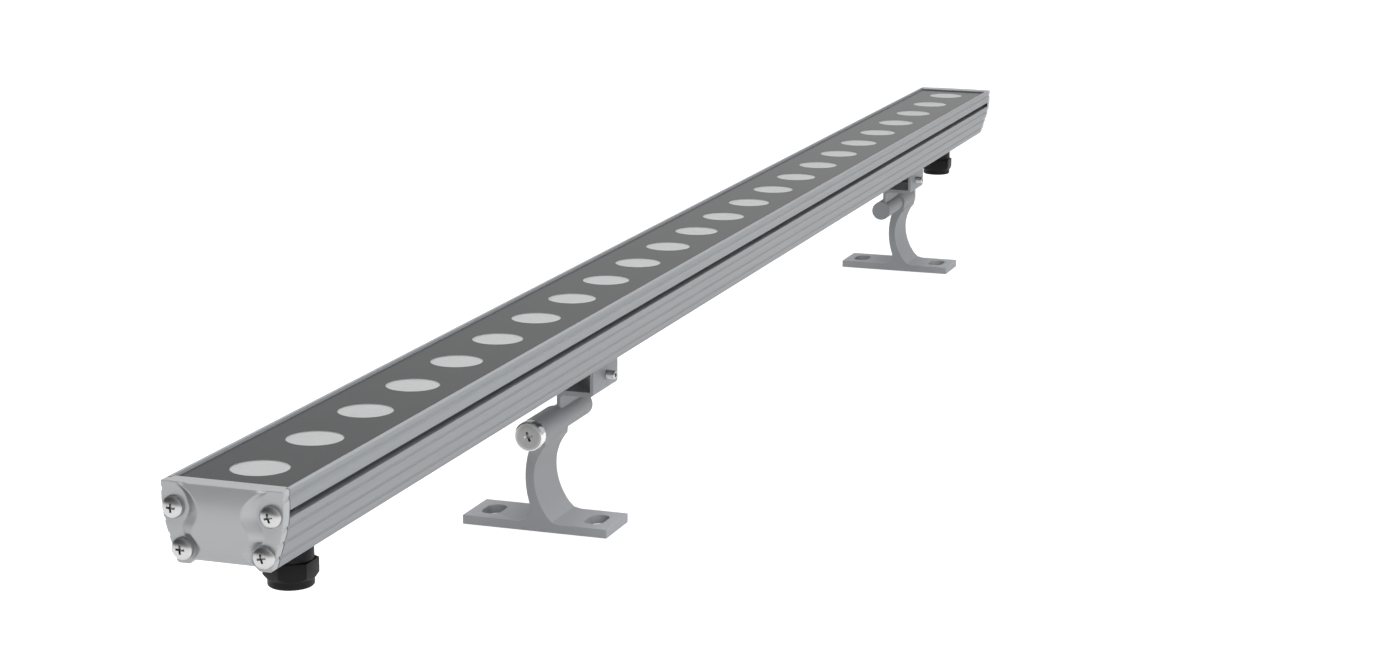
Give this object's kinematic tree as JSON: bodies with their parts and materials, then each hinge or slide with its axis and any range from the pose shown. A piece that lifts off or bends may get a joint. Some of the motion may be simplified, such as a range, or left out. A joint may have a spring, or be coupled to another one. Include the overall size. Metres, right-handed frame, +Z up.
{
  "type": "linear wall washer light",
  "caption": "Slim aluminium bar light with a row of round windows under glass, on two feet that slide along its base and tilt.",
  "frame": {"origin": "on the surface that the feet rest on, below the middle of the lamp and in line with the middle of the foot plates", "axes": "+X along the lamp, +Y across it towards the side on which the feet stick out, +Z up, the way the light shines"},
  "size_m": [1.0054, 0.0666, 0.0993],
  "materials": {
    "body_aluminium": "satin anodised",
    "cap_aluminium": "satin painted casting",
    "bracket_aluminium": "satin anodised",
    "screw_steel": "polished",
    "cover_glass": "polished toughened",
    "mask": "satin dark grey",
    "lens": "frosted front, clear sides",
    "chip": "clear dome over phosphor",
    "led_board": "white solder mask",
    "contact": "tinned",
    "driver_board": "solder mask",
    "driver_black": "moulded",
    "driver_coil": "enamelled winding",
    "capacitor": "sleeved can",
    "sheet": "film",
    "rubber": "matte",
    "nylon": "moulded"
  },
  "bodies": {
    "lamp": {"housing": "body_aluminium", "end_cap_near": "cap_aluminium", "end_cap_far": "cap_aluminium", "cap_gasket_near": "rubber", "cap_gasket_far": "rubber", "cap_screws_near": "screw_steel", "cap_screws_far": "screw_steel", "cover_glass": "cover_glass", "glass_seal": "rubber", "mask_plate": "mask", "lenses_near": "lens", "lenses_far": "lens", "led_chips_near": "chip", "led_chips_far": "chip", "led_board_near": "led_board", "led_board_far": "led_board", "board_screws": "screw_steel", "board_link": "contact", "lead_pins": "contact", "driver_board": "driver_board", "driver_chip": "driver_black", "driver_coils": "driver_coil", "driver_capacitors": "capacitor", "insulation_sheet": "sheet", "gland_body_near": "nylon", "gland_body_far": "nylon", "gland_nut_near": "nylon", "gland_nut_far": "nylon", "gland_seal_near": "rubber", "gland_seal_far": "rubber", "gland_oring_near": "rubber", "gland_oring_far": "rubber", "gland_locknut_near": "nylon", "gland_locknut_far": "nylon"},
    "near_clamp": {"clamp_near": "bracket_aluminium", "lock_screw_near": "screw_steel", "pivot_screw_near": "screw_steel"},
    "near_foot": {"foot_near": "bracket_aluminium"},
    "far_clamp": {"clamp_far": "bracket_aluminium", "lock_screw_far": "screw_steel", "pivot_screw_far": "screw_steel"},
    "far_foot": {"foot_far": "bracket_aluminium"}
  },
  "joints": [
    {"name": "near_clamp_slide", "type": "slide", "parent": "lamp", "child": "near_clamp", "axis": [1, 0, 0], "range_m": [-0.22, 0.14]},
    {"name": "near_foot_tilt", "type": "hinge", "parent": "near_clamp", "child": "near_foot", "pos_m": [-0.1825, 0.0005, 0.043], "axis": [1, 0, 0], "range_deg": [-90, 90]},
    {"name": "far_clamp_slide", "type": "slide", "parent": "lamp", "child": "far_clamp", "axis": [1, 0, 0], "range_m": [-0.14, 0.02]},
    {"name": "far_foot_tilt", "type": "hinge", "parent": "far_clamp", "child": "far_foot", "pos_m": [0.385, 0.0005, 0.043], "axis": [1, 0, 0], "range_deg": [-90, 90]}
  ]
}
